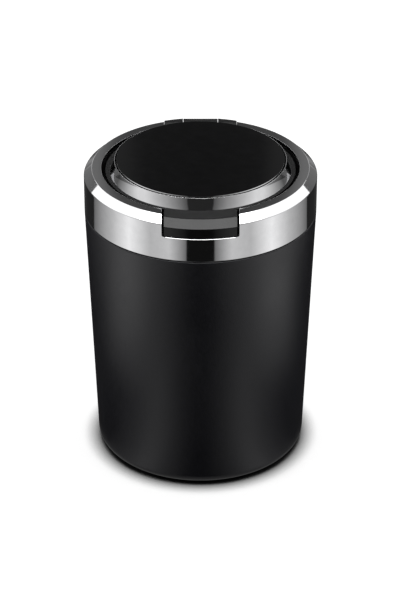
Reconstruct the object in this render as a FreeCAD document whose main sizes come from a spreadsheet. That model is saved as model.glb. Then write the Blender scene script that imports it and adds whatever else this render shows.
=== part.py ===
import FreeCAD, Part
import math
import os
import Sketcher

os.makedirs("parts", exist_ok=True)
doc = FreeCAD.newDocument("car_ashtray")
dims = doc.addObject("Spreadsheet::Sheet", "dims")

# Driving dimensions, in millimetres, degrees and counts
SIZES = (
    # Cup and foot
    ("cup_height", 85.95), ("cup_base_radius", 34.7), ("cup_mouth_radius", 38.0),
    ("cup_wall", 1.2), ("cup_floor", 1.5), ("cup_base_round", 3.8), ("cup_rim_round", 0.4),
    ("foot_margin", 7.7), ("foot_proud", 0.3), ("foot_recess", 0.9), ("foot_side_gap", 0.3),
    ("foot_groove_inset", 5.0), ("foot_groove_width", 2.0), ("foot_groove_depth", 0.4),
    # Bayonet neck bonded in the mouth of the cup
    ("neck_drop", 0.9), ("neck_height", 11.0), ("neck_wall", 2.25), ("neck_bond_gap", 0.1),
    ("lug_count", 3), ("lug_angle", 30.0), ("lug_thick", 2.0), ("lug_drop", 1.0), ("lug_reach", 1.2),
    ("lug_root", 0.5), ("lug_running_gap", 0.1), ("lug_side_gap", 0.2),
    ("stop_angle", 6.0), ("stop_gap_angle", 0.5),
    # Ash liner
    ("liner_foot_gap", 2.65), ("liner_pass_gap", 0.4), ("liner_wall", 0.6), ("liner_top_gap", 1.25),
    ("liner_round", 4.0), ("liner_rim_width", 0.5), ("liner_rim_thick", 0.8),
    # Chrome collar
    ("seam_gap", 0.3), ("collar_wall_height", 12.35), ("collar_wall", 1.2), ("collar_top_thick", 1.0),
    ("collar_knee", 0.45), ("bevel_height", 2.4), ("bevel_width", 2.6), ("collar_land", 3.1),
    ("collar_edge_round", 0.3), ("notch_width", 24.5), ("notch_depth", 6.7),
    ("notch_edge_bevel", 0.5), ("core_fit", 0.05),
    # Collar core
    ("skirt_depth", 10.5), ("skirt_wall", 1.6), ("ledge_depth", 5.8), ("ledge_width", 4.4),
    ("shelf_depth", 12.1), ("shelf_width", 1.5), ("shelf_thick", 1.4), ("dam_thick", 1.2),
    ("ear_side_gap", 0.1), ("ear_gap_width", 11.8), ("ear_fore", 1.7), ("ear_aft", 2.4),
    ("ear_rise", 0.1), ("ear_bevel", 0.6), ("hinge_floor_depth", 5.4), ("gasket_gap", 0.1),
    ("gasket_inset", 0.3), ("gasket_side_gap", 0.7),
    # Snuffer plate
    ("plate_thick", 0.8), ("plate_side_gap", 0.3), ("plate_rim_width", 2.4), ("plate_dish", 4.6),
    ("plate_hole_radius", 14.0), ("plate_lip", 1.6), ("snuff_slot_width", 9.0), ("snuff_slot_reach", 19.5),
    ("snuff_slot_count", 3),
    # Hinge
    ("pin_outset", 1.3), ("pin_drop", 2.4), ("pin_radius", 0.9), ("pin_end_inset", 0.3),
    ("pin_press_gap", 0.01), ("pin_running_gap", 0.05), ("knuckle_side_gap", 0.15),
    ("knuckle_radius", 2.2), ("knuckle_aft", 2.3), ("knuckle_root", 0.9), ("knuckle_bevel", 0.5),
    ("flange_hinge_gap", 3.0),
    # Lid
    ("lid_drop", 0.8), ("flange_thick", 2.0), ("lid_gap", 1.4), ("flange_ledge", 1.2),
    ("crown_lean", 1.7), ("crown_rim_width", 0.35), ("crown_height", 3.6), ("crown_cove_radius", 6.0),
    ("crown_edge_round", 0.15), ("crown_fit", 0.05), ("disc_side_gap", 0.2), ("disc_thick", 1.6),
    ("disc_proud", 0.2), ("disc_bevel", 0.35), ("tape_thick", 0.2), ("tape_margin", 1.95), ("lid_web", 1.2),
    ("lid_plug_wall", 2.6), ("tab_side_gap", 0.75), ("tab_gap", 0.3), ("tab_lip", 1.8),
    ("tab_overlap", 1.9), ("tab_edge_round", 0.25),
    # Lid inner cover, seal and screws
    ("cover_gap", 2.1), ("cover_thick", 1.6), ("cover_rib_gap", 0.4), ("cover_rib_width", 1.5),
    ("cover_rib_depth", 1.9), ("seal_wall_gap", 1.8), ("seal_gap", 0.1), ("seal_side_gap", 0.3),
    ("screw_count", 4), ("screw_inset", 7.0), ("screw_radius", 1.0), ("screw_length", 3.4),
    ("screw_head_radius", 1.9), ("screw_head_height", 1.2), ("screw_gap", 0.05), ("boss_radius", 2.8),
)
for row, (alias, size) in enumerate(SIZES, start=1):
    dims.set(f"A{row}", alias)
    dims.set(f"B{row}", str(size))
    dims.setAlias(f"B{row}", alias)
doc.recompute()


# Heights and radii shared by several pieces
def taper_at(height):
    slope = "(dims.cup_mouth_radius - dims.cup_base_radius) / dims.cup_height"
    return f"(dims.cup_base_radius + ({height} - dims.foot_proud) * {slope})"


CUP_FLOOR_TOP = "(dims.foot_proud + dims.cup_floor)"
FOOT_RADIUS = "(dims.cup_base_radius - dims.foot_margin)"
RIM = "(dims.foot_proud + dims.cup_height)"
NECK_TOP = f"({RIM} - dims.neck_drop)"
NECK_FOOT = f"({NECK_TOP} - dims.neck_height)"
NECK_LUG_TOP = f"({NECK_TOP} - dims.lug_drop)"
NECK_LUG_FOOT = f"({NECK_LUG_TOP} - dims.lug_thick)"
NECK_FOOT_RADIUS = f"({taper_at(NECK_FOOT)} - dims.cup_wall - dims.neck_bond_gap)"
NECK_TOP_RADIUS = f"({taper_at(NECK_TOP)} - dims.cup_wall - dims.neck_bond_gap)"
NECK_BORE = f"({NECK_FOOT_RADIUS} - dims.neck_wall)"
NECK_LUG_RADIUS = f"({NECK_BORE} - dims.lug_reach)"
HEAD_LUG_TOP = f"({NECK_LUG_FOOT} - dims.lug_running_gap)"
HEAD_LUG_FOOT = f"({HEAD_LUG_TOP} - dims.lug_thick)"
SKIRT_RADIUS = f"({NECK_LUG_RADIUS} - dims.lug_side_gap)"
SKIRT_BORE = f"({SKIRT_RADIUS} - dims.skirt_wall)"
COLLAR_FOOT = f"({RIM} + dims.seam_gap)"
SKIRT_FOOT = f"({COLLAR_FOOT} - dims.skirt_depth)"
BEVEL_FOOT = f"({COLLAR_FOOT} + dims.collar_wall_height)"
COLLAR_TOP = f"({BEVEL_FOOT} + dims.bevel_height)"
BEVEL_TOP_RADIUS = "(dims.cup_mouth_radius - dims.bevel_width)"
COLLAR_BORE = f"({BEVEL_TOP_RADIUS} - dims.collar_land)"
COLLAR_INSIDE = "(dims.cup_mouth_radius - dims.collar_wall)"
COLLAR_UNDER = f"({COLLAR_TOP} - dims.collar_top_thick)"
KNEE = f"({BEVEL_FOOT} - dims.collar_knee)"
KNEE_TOP_RADIUS = f"({COLLAR_INSIDE} - ({COLLAR_UNDER} - {KNEE}) * dims.bevel_width / dims.bevel_height)"
NOTCH_FLOOR = f"({COLLAR_TOP} - dims.notch_depth)"
LEDGE = f"({COLLAR_TOP} - dims.ledge_depth)"
SHELF = f"({COLLAR_TOP} - dims.shelf_depth)"
LEDGE_BORE = f"({COLLAR_BORE} - dims.ledge_width)"
SHELF_BORE = f"({LEDGE_BORE} - dims.shelf_width)"
EAR_TOP = f"({COLLAR_TOP} + dims.ear_rise)"
EAR_WIDTH = "(dims.notch_width - 2 * dims.ear_side_gap)"
HINGE_FLOOR = f"({COLLAR_TOP} - dims.hinge_floor_depth)"
PIN_HEIGHT = f"({COLLAR_TOP} - dims.pin_drop)"
PIN_ACROSS = f"({COLLAR_BORE} + dims.pin_outset)"
PIN_LENGTH = f"({EAR_WIDTH} - 2 * dims.pin_end_inset)"
FLANGE_TOP = f"({COLLAR_TOP} - dims.lid_drop)"
FLANGE_UNDER = f"({FLANGE_TOP} - dims.flange_thick)"
FLANGE_RADIUS = f"({COLLAR_BORE} - dims.lid_gap)"
TAB_ROOT = f"({FLANGE_RADIUS} - dims.tab_overlap)"
CROWN_FOOT_RADIUS = f"({FLANGE_RADIUS} - dims.flange_ledge)"
CROWN_RIM_RADIUS = f"({CROWN_FOOT_RADIUS} - dims.crown_lean)"
CROWN_BORE = f"({CROWN_RIM_RADIUS} - dims.crown_rim_width)"
CROWN_TOP = f"({FLANGE_TOP} + dims.crown_height)"
DISC_TOP = f"({CROWN_TOP} + dims.disc_proud)"
DISC_UNDER = f"({DISC_TOP} - dims.disc_thick)"
DISC_SEAT = f"({DISC_UNDER} - dims.tape_thick)"
WEB_UNDER = f"({DISC_SEAT} - dims.lid_web)"
COVER_UNDER = f"({FLANGE_UNDER} - dims.cover_thick)"
PLUG_RADIUS = f"({CROWN_BORE} - dims.crown_fit)"
HOLLOW_RADIUS = f"({PLUG_RADIUS} - dims.lid_plug_wall)"
SCREW_CIRCLE = f"({HOLLOW_RADIUS} - dims.screw_inset)"
RIB_RADIUS = f"({LEDGE_BORE} - dims.cover_rib_gap)"


# Sketching and feature helpers
def value(expression):
    result = dims.evalExpression(str(expression))
    return float(getattr(result, "Value", result))


def new_body(name):
    body = doc.addObject("PartDesign::Body", name)
    body.Label = name
    return body


def origin_feature(body, role):
    return next(item for item in body.Origin.OriginFeatures if item.Role == role)


def new_sketch(body, name, plane):
    sketch = body.newObject("Sketcher::SketchObject", name)
    sketch.AttachmentSupport = [(origin_feature(body, plane), "")]
    sketch.MapMode = "FlatFace"
    return sketch


def pin_point(sketch, edge, end, across, along):
    for kind, expression in (("DistanceX", across), ("DistanceY", along)):
        index = sketch.addConstraint(Sketcher.Constraint(kind, -1, 1, edge, end, value(expression)))
        sketch.setExpression(f"Constraints[{index}]", expression)


def outline(body, name, plane, corners):
    # Each corner is a pair of expressions; a third one makes the next edge an arc of that radius,
    # counter-clockwise, and a minus sign in a fourth place makes it clockwise.
    sketch = new_sketch(body, name, plane)
    points = [FreeCAD.Vector(value(corner[0]), value(corner[1]), 0) for corner in corners]
    ends = []
    for index, corner in enumerate(corners):
        start = points[index]
        stop = points[(index + 1) % len(points)]
        if len(corner) == 2:
            sketch.addGeometry(Part.LineSegment(start, stop), False)
            ends.append((1, 2))
            continue
        radius = value(corner[2])
        clockwise = len(corner) == 4
        first, last = (stop, start) if clockwise else (start, stop)
        chord = last - first
        side = FreeCAD.Vector(-chord.y, chord.x, 0).normalize()
        centre = (first + last) * 0.5 + side * math.sqrt(radius ** 2 - chord.Length ** 2 / 4)
        angles = [math.atan2(point.y - centre.y, point.x - centre.x) for point in (first, last)]
        circle = Part.Circle(centre, FreeCAD.Vector(0, 0, 1), radius)
        sketch.addGeometry(Part.ArcOfCircle(circle, angles[0], angles[1]), False)
        ends.append((2, 1) if clockwise else (1, 2))
    for index in range(len(corners)):
        following = (index + 1) % len(corners)
        joint = ("Coincident", index, ends[index][1], following, ends[following][0])
        sketch.addConstraint(Sketcher.Constraint(*joint))
    for index, corner in enumerate(corners):
        pin_point(sketch, index, ends[index][0], corner[0], corner[1])
        if len(corner) > 2:
            bend = sketch.addConstraint(Sketcher.Constraint("Radius", index, value(corner[2])))
            sketch.setExpression(f"Constraints[{bend}]", corner[2])
    return sketch


def round_outline(body, name, plane, across, along, radius):
    sketch = new_sketch(body, name, plane)
    centre = FreeCAD.Vector(value(across), value(along), 0)
    sketch.addGeometry(Part.Circle(centre, FreeCAD.Vector(0, 0, 1), value(radius)), False)
    pin_point(sketch, 0, 3, across, along)
    bend = sketch.addConstraint(Sketcher.Constraint("Radius", 0, value(radius)))
    sketch.setExpression(f"Constraints[{bend}]", radius)
    return sketch


def box_corners(low_x, high_x, low_y, high_y):
    return [(low_x, low_y), (high_x, low_y), (high_x, high_y), (low_x, high_y)]


def turned(body, name, corners, kind="PartDesign::Revolution", angle=None, start=None):
    sketch = outline(body, f"{name}_outline", "YZ_Plane", corners)
    if start:
        sketch.AttachmentOffset = FreeCAD.Placement(
            FreeCAD.Vector(), FreeCAD.Rotation(FreeCAD.Vector(0, 1, 0), value(start)))
        sketch.setExpression("AttachmentOffset.Rotation.Angle", start)
    feature = body.newObject(kind, name)
    feature.Profile = sketch
    feature.ReferenceAxis = (sketch, ["V_Axis"])
    if angle:
        feature.Midplane = True
        feature.setExpression("Angle", angle)
    doc.recompute()
    return feature


def raised(body, name, sketch, low, high):
    # Stock between two heights above the base plane
    sketch.setExpression("AttachmentOffset.Base.z", low)
    feature = body.newObject("PartDesign::Pad", name)
    feature.Profile = sketch
    feature.setExpression("Length", f"{high} - {low}")
    doc.recompute()
    return feature


def cut_up(body, name, sketch, low, high):
    # Stock taken away between two heights above the base plane
    sketch.setExpression("AttachmentOffset.Base.z", low)
    before = body.Shape.Volume
    feature = body.newObject("PartDesign::Pocket", name)
    feature.Profile = sketch
    feature.Reversed = True
    feature.setExpression("Length", f"{high} - {low}")
    doc.recompute()
    if not feature.Shape.Volume < before:
        raise RuntimeError(f"{name} removes nothing")
    return feature


def across(body, name, sketch, kind, width):
    # A pad or pocket carried equally to both sides of its sketch
    feature = body.newObject(kind, name)
    feature.Profile = sketch
    feature.SideType = "Symmetric"
    feature.setExpression("Length", width)
    doc.recompute()
    return feature


def patterned(body, name, originals, count):
    feature = body.newObject("PartDesign::PolarPattern", name)
    feature.Originals = originals
    feature.Axis = (origin_feature(body, "Z_Axis"), [""])
    feature.Angle = 360
    feature.setExpression("Occurrences", count)
    body.Tip = feature
    doc.recompute()
    return feature


def softened(body, name, kind, size, chosen):
    # A fillet or chamfer on the edges that the chooser accepts
    doc.recompute()
    base = body.Tip
    names = [f"Edge{index}" for index, edge in enumerate(base.Shape.Edges, start=1) if chosen(edge)]
    if not names:
        raise RuntimeError(f"{name} finds no edge")
    feature = body.newObject(kind, name)
    feature.Base = (base, names)
    feature.setExpression("Radius" if kind.endswith("Fillet") else "Size", size)
    doc.recompute()
    return feature


def near(one, other):
    return abs(one - other) < 1e-4


def is_ring(edge, radius, height):
    curve = edge.Curve
    return (curve.TypeId == "Part::GeomCircle" and near(curve.Radius, value(radius))
            and near(curve.Center.z, value(height)) and near(abs(curve.Axis.z), 1))


# Outer cup: drawn aluminium, tapered, with a shallow recess under its floor for the foot
outer_cup = new_body("outer_cup")
RECESS_TOP = "(dims.foot_proud + dims.foot_recess)"
RECESS_RADIUS = f"({FOOT_RADIUS} + dims.foot_side_gap)"
CUP_INNER_FOOT = f"({taper_at(CUP_FLOOR_TOP)} - dims.cup_wall)"
turned(outer_cup, "cup_shell", [
    ("0", RECESS_TOP), (RECESS_RADIUS, RECESS_TOP), (RECESS_RADIUS, "dims.foot_proud"),
    ("dims.cup_base_radius", "dims.foot_proud"), ("dims.cup_mouth_radius", RIM),
    ("dims.cup_mouth_radius - dims.cup_wall", RIM), (CUP_INNER_FOOT, CUP_FLOOR_TOP), ("0", CUP_FLOOR_TOP)])
softened(outer_cup, "cup_base_edge", "PartDesign::Fillet", "dims.cup_base_round",
         lambda edge: is_ring(edge, "dims.cup_base_radius", "dims.foot_proud"))
softened(outer_cup, "cup_inner_corner", "PartDesign::Fillet", "dims.cup_base_round - dims.cup_wall",
         lambda edge: is_ring(edge, CUP_INNER_FOOT, CUP_FLOOR_TOP))
softened(outer_cup, "cup_rim_edge", "PartDesign::Fillet", "dims.cup_rim_round",
         lambda edge: is_ring(edge, "dims.cup_mouth_radius", RIM))

# Foot pad: rubber disc with one grip groove, stuck in the recess and standing proud of it
foot_pad = new_body("foot_pad")
GROOVE_OUTER = f"({FOOT_RADIUS} - dims.foot_groove_inset)"
GROOVE_INNER = f"({GROOVE_OUTER} - dims.foot_groove_width)"
turned(foot_pad, "pad_disc", [
    ("0", "0"), (GROOVE_INNER, "0"), (GROOVE_INNER, "dims.foot_groove_depth"),
    (GROOVE_OUTER, "dims.foot_groove_depth"), (GROOVE_OUTER, "0"), (FOOT_RADIUS, "0"),
    (FOOT_RADIUS, RECESS_TOP), ("0", RECESS_TOP)])

# Neck ring: plastic bayonet socket bonded inside the mouth, its lugs hold the head down
neck_ring = new_body("neck_ring")
turned(neck_ring, "neck_band", [
    (NECK_BORE, NECK_FOOT), (NECK_FOOT_RADIUS, NECK_FOOT),
    (NECK_TOP_RADIUS, NECK_TOP), (NECK_BORE, NECK_TOP)])
NECK_LUG_ROOT = f"({NECK_BORE} + dims.lug_root)"
neck_lug = turned(neck_ring, "neck_lug", box_corners(
    NECK_LUG_RADIUS, NECK_LUG_ROOT, NECK_LUG_FOOT, NECK_LUG_TOP), angle="dims.lug_angle")
patterned(neck_ring, "neck_lugs", [neck_lug], "dims.lug_count")
neck_stop = turned(
    neck_ring, "neck_stop", box_corners(NECK_LUG_RADIUS, NECK_LUG_ROOT, HEAD_LUG_FOOT, NECK_LUG_TOP),
    angle="dims.stop_angle", start="-(dims.lug_angle + dims.stop_angle) / 2 - dims.stop_gap_angle")
patterned(neck_ring, "neck_stops", [neck_stop], "dims.lug_count")

# Ash liner: deep-drawn stainless bucket with a flat rim, standing loose on the floor of the cup
ash_liner = new_body("ash_liner")
LINER_TOP = f"({SKIRT_FOOT} - dims.liner_top_gap)"
LINER_RIM_UNDER = f"({LINER_TOP} - dims.liner_rim_thick)"
LINER_RIM_RADIUS = f"({NECK_LUG_RADIUS} - dims.liner_pass_gap)"
LINER_TOP_RADIUS = f"({LINER_RIM_RADIUS} - dims.liner_rim_width)"
LINER_BASE_RADIUS = f"({CUP_INNER_FOOT} - dims.liner_foot_gap)"
LINER_INSIDE_FOOT = f"({CUP_FLOOR_TOP} + dims.liner_wall)"
LINER_INNER_RADIUS = f"({LINER_BASE_RADIUS} - dims.liner_wall)"
turned(ash_liner, "liner_shell", [
    ("0", CUP_FLOOR_TOP), (LINER_BASE_RADIUS, CUP_FLOOR_TOP), (LINER_TOP_RADIUS, LINER_RIM_UNDER),
    (LINER_RIM_RADIUS, LINER_RIM_UNDER), (LINER_RIM_RADIUS, LINER_TOP),
    (f"{LINER_TOP_RADIUS} - dims.liner_wall", LINER_TOP), (LINER_INNER_RADIUS, LINER_INSIDE_FOOT),
    ("0", LINER_INSIDE_FOOT)])
softened(ash_liner, "liner_outer_corner", "PartDesign::Fillet", "dims.liner_round",
         lambda edge: is_ring(edge, LINER_BASE_RADIUS, CUP_FLOOR_TOP))
softened(ash_liner, "liner_inner_corner", "PartDesign::Fillet", "dims.liner_round - dims.liner_wall",
         lambda edge: is_ring(edge, LINER_INNER_RADIUS, LINER_INSIDE_FOOT))

# Chrome collar: bevelled ring with a notch at the front for the lid tab and one behind for the hinge
collar_ring = new_body("collar_ring")
turned(collar_ring, "collar_section", [
    ("dims.cup_mouth_radius", COLLAR_FOOT), ("dims.cup_mouth_radius", BEVEL_FOOT),
    (BEVEL_TOP_RADIUS, COLLAR_TOP), (COLLAR_BORE, COLLAR_TOP),
    (COLLAR_BORE, COLLAR_UNDER), (KNEE_TOP_RADIUS, COLLAR_UNDER),
    (COLLAR_INSIDE, KNEE), (COLLAR_INSIDE, COLLAR_FOOT)])
softened(collar_ring, "collar_edges", "PartDesign::Fillet", "dims.collar_edge_round", lambda edge: (
    is_ring(edge, "dims.cup_mouth_radius", BEVEL_FOOT) or is_ring(edge, BEVEL_TOP_RADIUS, COLLAR_TOP)
    or is_ring(edge, COLLAR_BORE, COLLAR_TOP)
    or is_ring(edge, "dims.cup_mouth_radius", COLLAR_FOOT)))
HALF_NOTCH = "(dims.notch_width / 2)"
CLEAR_OF_COLLAR = "(2 * dims.cup_mouth_radius)"
across(collar_ring, "collar_notches", outline(collar_ring, "notch_outline", "XZ_Plane", box_corners(
    f"-{HALF_NOTCH}", HALF_NOTCH, NOTCH_FLOOR, f"{COLLAR_TOP} + dims.notch_depth")),
    "PartDesign::Pocket", CLEAR_OF_COLLAR)
softened(collar_ring, "notch_edge", "PartDesign::Chamfer", "dims.notch_edge_bevel",
         lambda edge: is_ring(edge, "dims.cup_mouth_radius", NOTCH_FLOOR))

# Collar core: heat-resistant plastic ring with skirt, bayonet lugs, seal ledge, shelf and hinge ears
collar_core = new_body("collar_core")
CORE_RADIUS = f"({COLLAR_INSIDE} - dims.core_fit)"
CORE_TOP = f"({COLLAR_UNDER} - dims.core_fit)"
SHELF_UNDER = f"({SHELF} - dims.shelf_thick)"
turned(collar_core, "core_section", [
    (SKIRT_BORE, SKIRT_FOOT), (SKIRT_RADIUS, SKIRT_FOOT), (SKIRT_RADIUS, COLLAR_FOOT),
    (CORE_RADIUS, COLLAR_FOOT), (CORE_RADIUS, f"{KNEE} - dims.core_fit"),
    (f"{KNEE_TOP_RADIUS} - dims.core_fit", CORE_TOP), (COLLAR_BORE, CORE_TOP),
    (COLLAR_BORE, LEDGE), (LEDGE_BORE, LEDGE), (LEDGE_BORE, SHELF),
    (SHELF_BORE, SHELF), (SHELF_BORE, SHELF_UNDER),
    (SKIRT_BORE, f"{SHELF_UNDER} - ({SKIRT_BORE} - {SHELF_BORE}) / 2")])
HEAD_LUG_RADIUS = f"({NECK_BORE} - dims.lug_side_gap)"
head_lug = turned(collar_core, "head_lug", box_corners(
    f"{SKIRT_RADIUS} - dims.lug_root", HEAD_LUG_RADIUS, HEAD_LUG_FOOT, HEAD_LUG_TOP), angle="dims.lug_angle")
patterned(collar_core, "head_lugs", [head_lug], "dims.lug_count")
OUTSIDE = "(dims.cup_mouth_radius + dims.collar_wall)"
cut_up(collar_core, "tab_gate", outline(collar_core, "tab_gate_outline", "XY_Plane", box_corners(
    f"-{HALF_NOTCH}", HALF_NOTCH, f"-{OUTSIDE}", f"-{TAB_ROOT}")),
    f"{FLANGE_UNDER} - dims.tab_gap", COLLAR_TOP)
cut_up(collar_core, "tab_well", outline(collar_core, "tab_well_outline", "XY_Plane", box_corners(
    f"-{HALF_NOTCH}", HALF_NOTCH, f"-{OUTSIDE}", f"-{COLLAR_BORE} - dims.dam_thick")),
    NOTCH_FLOOR, COLLAR_TOP)
cut_up(collar_core, "hinge_bay", outline(collar_core, "hinge_bay_outline", "XY_Plane", box_corners(
    f"-{HALF_NOTCH}", HALF_NOTCH, TAB_ROOT, OUTSIDE)), HINGE_FLOOR, COLLAR_TOP)


def arc_ended(half_width, straight, radius):
    # Plan of a block between a straight edge and an arc about the centre line, on the rear side
    depth = f"sqrt({radius} ^ 2 - ({half_width}) ^ 2)"
    return [(f"-({half_width})", straight), (f"{half_width}", straight),
            (f"{half_width}", depth, radius), (f"-({half_width})", depth)]


EAR_ROOT = f"({HINGE_FLOOR} - dims.ear_bevel)"
EAR_FRONT = f"({PIN_ACROSS} - dims.ear_fore)"
raised(collar_core, "hinge_ears", outline(collar_core, "ear_outline", "XY_Plane", arc_ended(
    f"{EAR_WIDTH} / 2", EAR_FRONT, f"({PIN_ACROSS} + dims.ear_aft)")), EAR_ROOT, EAR_TOP)
softened(collar_core, "ear_edges", "PartDesign::Chamfer", "dims.ear_bevel", lambda edge: (
    edge.Curve.TypeId == "Part::GeomLine" and near(edge.CenterOfMass.z, value(EAR_TOP))
    and near(edge.CenterOfMass.y, value(EAR_FRONT))))
cut_up(collar_core, "knuckle_gap", outline(collar_core, "knuckle_gap_outline", "XY_Plane", box_corners(
    "-dims.ear_gap_width / 2", "dims.ear_gap_width / 2", TAB_ROOT, OUTSIDE)), HINGE_FLOOR, EAR_TOP)
across(collar_core, "ear_holes", round_outline(
    collar_core, "ear_hole_outline", "YZ_Plane", PIN_ACROSS, PIN_HEIGHT,
    "dims.pin_radius + dims.pin_press_gap"), "PartDesign::Pocket", "dims.notch_width")

# Head gasket: flat silicone ring under the shoulder of the core, bearing on the neck ring
head_gasket = new_body("head_gasket")
turned(head_gasket, "gasket_section", box_corners(
    f"{NECK_BORE} + dims.gasket_inset", "dims.cup_mouth_radius - dims.cup_wall - dims.gasket_side_gap",
    f"{NECK_TOP} + dims.gasket_gap", COLLAR_FOOT))

# Snuffer plate: dished stainless ring with stub slots, lying on the shelf of the core
snuffer_plate = new_body("snuffer_plate")
PLATE_RADIUS = f"({LEDGE_BORE} - dims.plate_side_gap)"
PLATE_TOP = f"({SHELF} + dims.plate_thick)"
PLATE_FALL = f"({PLATE_RADIUS} - dims.plate_rim_width)"
PLATE_LOW_TOP = f"({PLATE_TOP} - dims.plate_dish)"
PLATE_LOW_UNDER = f"({SHELF} - dims.plate_dish)"
PLATE_LIP_RADIUS = "(dims.plate_hole_radius + dims.plate_lip)"
turned(snuffer_plate, "plate_section", [
    ("dims.plate_hole_radius", PLATE_LOW_UNDER), (PLATE_LIP_RADIUS, PLATE_LOW_UNDER), (PLATE_FALL, SHELF),
    (PLATE_RADIUS, SHELF), (PLATE_RADIUS, PLATE_TOP), (PLATE_FALL, PLATE_TOP),
    (PLATE_LIP_RADIUS, PLATE_LOW_TOP), ("dims.plate_hole_radius", PLATE_LOW_TOP)])
SLOT_END = "(dims.snuff_slot_reach - dims.snuff_slot_width / 2)"
HALF_SLOT = "(dims.snuff_slot_width / 2)"
snuff_slot = cut_up(snuffer_plate, "snuff_slot", outline(snuffer_plate, "slot_outline", "XY_Plane", [
    (f"-{HALF_SLOT}", "0"), (HALF_SLOT, "0"), (HALF_SLOT, SLOT_END, f"{HALF_SLOT} * 1.0001"),
    (f"-{HALF_SLOT}", SLOT_END)]), PLATE_LOW_UNDER, PLATE_TOP)
patterned(snuffer_plate, "snuff_slots", [snuff_slot], "dims.snuff_slot_count")

# Hinge pin: steel rod through both ears and the lid knuckle
hinge_pin = doc.addObject("Part::Cylinder", "hinge_pin")
hinge_pin.Placement = FreeCAD.Placement(
    FreeCAD.Vector(), FreeCAD.Rotation(FreeCAD.Vector(0, 1, 0), 90))
hinge_pin.setExpression("Radius", "dims.pin_radius")
hinge_pin.setExpression("Height", PIN_LENGTH)
hinge_pin.setExpression("Placement.Base.x", f"-{PIN_LENGTH} / 2")
hinge_pin.setExpression("Placement.Base.y", PIN_ACROSS)
hinge_pin.setExpression("Placement.Base.z", PIN_HEIGHT)

# Lid shell: black moulding with flange, front tab, hinge knuckle and a plug that carries crown and disc
lid_shell = new_body("lid_shell")
HALF_TAB = f"({HALF_NOTCH} - dims.tab_side_gap)"
TAB_FOOT = f"({NOTCH_FLOOR} + dims.tab_gap)"
TAB_SHOULDER = f"(-sqrt(dims.cup_mouth_radius ^ 2 - {HALF_TAB} ^ 2))"
raised(lid_shell, "front_tab", outline(lid_shell, "tab_outline", "XY_Plane", [
    (HALF_TAB, f"-{TAB_ROOT}"), (f"-{HALF_TAB}", f"-{TAB_ROOT}"),
    (f"-{HALF_TAB}", TAB_SHOULDER, "dims.cup_mouth_radius"), (HALF_TAB, TAB_SHOULDER)]), TAB_FOOT, FLANGE_TOP)
turned(lid_shell, "tab_bevel", [
    (BEVEL_TOP_RADIUS, FLANGE_TOP), ("dims.cup_mouth_radius", f"{FLANGE_TOP} - dims.bevel_height"),
    (OUTSIDE, f"{FLANGE_TOP} - dims.bevel_height"), (OUTSIDE, f"{FLANGE_TOP} + dims.bevel_height"),
    (BEVEL_TOP_RADIUS, f"{FLANGE_TOP} + dims.bevel_height")], kind="PartDesign::Groove")
turned(lid_shell, "tab_finger_well", box_corners(
    f"{TAB_ROOT} / 2", "dims.cup_mouth_radius - dims.tab_lip", f"{TAB_FOOT} - dims.tab_lip", FLANGE_UNDER),
    kind="PartDesign::Groove")
softened(lid_shell, "tab_edges", "PartDesign::Fillet", "dims.tab_edge_round", lambda edge: (
    is_ring(edge, BEVEL_TOP_RADIUS, FLANGE_TOP)
    or is_ring(edge, "dims.cup_mouth_radius", f"{FLANGE_TOP} - dims.bevel_height")))
turned(lid_shell, "lid_section", [
    ("0", WEB_UNDER), (HOLLOW_RADIUS, WEB_UNDER), (HOLLOW_RADIUS, FLANGE_UNDER),
    (FLANGE_RADIUS, FLANGE_UNDER), (FLANGE_RADIUS, FLANGE_TOP),
    (PLUG_RADIUS, FLANGE_TOP), (PLUG_RADIUS, DISC_SEAT), ("0", DISC_SEAT)])
cut_up(lid_shell, "flange_flat", outline(lid_shell, "flat_outline", "XY_Plane", box_corners(
    f"-{HALF_NOTCH}", HALF_NOTCH, f"{PIN_ACROSS} - dims.flange_hinge_gap", OUTSIDE)),
    FLANGE_UNDER, FLANGE_TOP)
KNUCKLE_FOOT = f"({PIN_HEIGHT} - dims.knuckle_radius)"
KNUCKLE_ROOT = f"({FLANGE_RADIUS} - dims.knuckle_root)"
KNUCKLE_FRONT = f"({PIN_ACROSS} - dims.knuckle_radius)"
KNUCKLE_REAR = f"({PIN_ACROSS} + dims.knuckle_aft)"
across(lid_shell, "hinge_knuckle", outline(lid_shell, "knuckle_outline", "YZ_Plane", [
    (KNUCKLE_ROOT, FLANGE_UNDER), (KNUCKLE_FRONT, FLANGE_UNDER),
    (PIN_ACROSS, KNUCKLE_FOOT, "dims.knuckle_aft"),
    (KNUCKLE_REAR, f"{KNUCKLE_FOOT} + dims.knuckle_aft"), (KNUCKLE_REAR, f"{EAR_TOP} - dims.knuckle_bevel"),
    (f"{KNUCKLE_REAR} - dims.knuckle_bevel", EAR_TOP), (f"{KNUCKLE_FRONT} + dims.knuckle_bevel", EAR_TOP),
    (KNUCKLE_FRONT, FLANGE_TOP), (KNUCKLE_ROOT, FLANGE_TOP)]),
    "PartDesign::Pad", "dims.ear_gap_width - 2 * dims.knuckle_side_gap")
across(lid_shell, "knuckle_bore", round_outline(
    lid_shell, "knuckle_bore_outline", "YZ_Plane", PIN_ACROSS, PIN_HEIGHT,
    "dims.pin_radius + dims.pin_running_gap"), "PartDesign::Pocket", "dims.notch_width")
boss = raised(lid_shell, "screw_boss", round_outline(
    lid_shell, "boss_outline", "XY_Plane", SCREW_CIRCLE, "0", "dims.boss_radius"),
    FLANGE_UNDER, f"{WEB_UNDER} + dims.lid_web / 2")
boss_bore = cut_up(lid_shell, "boss_bore", round_outline(
    lid_shell, "boss_bore_outline", "XY_Plane", SCREW_CIRCLE, "0",
    "dims.screw_radius + dims.screw_gap"), FLANGE_UNDER, f"{WEB_UNDER} + dims.lid_web / 4")
patterned(lid_shell, "screw_bosses", [boss, boss_bore], "dims.screw_count")

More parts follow.
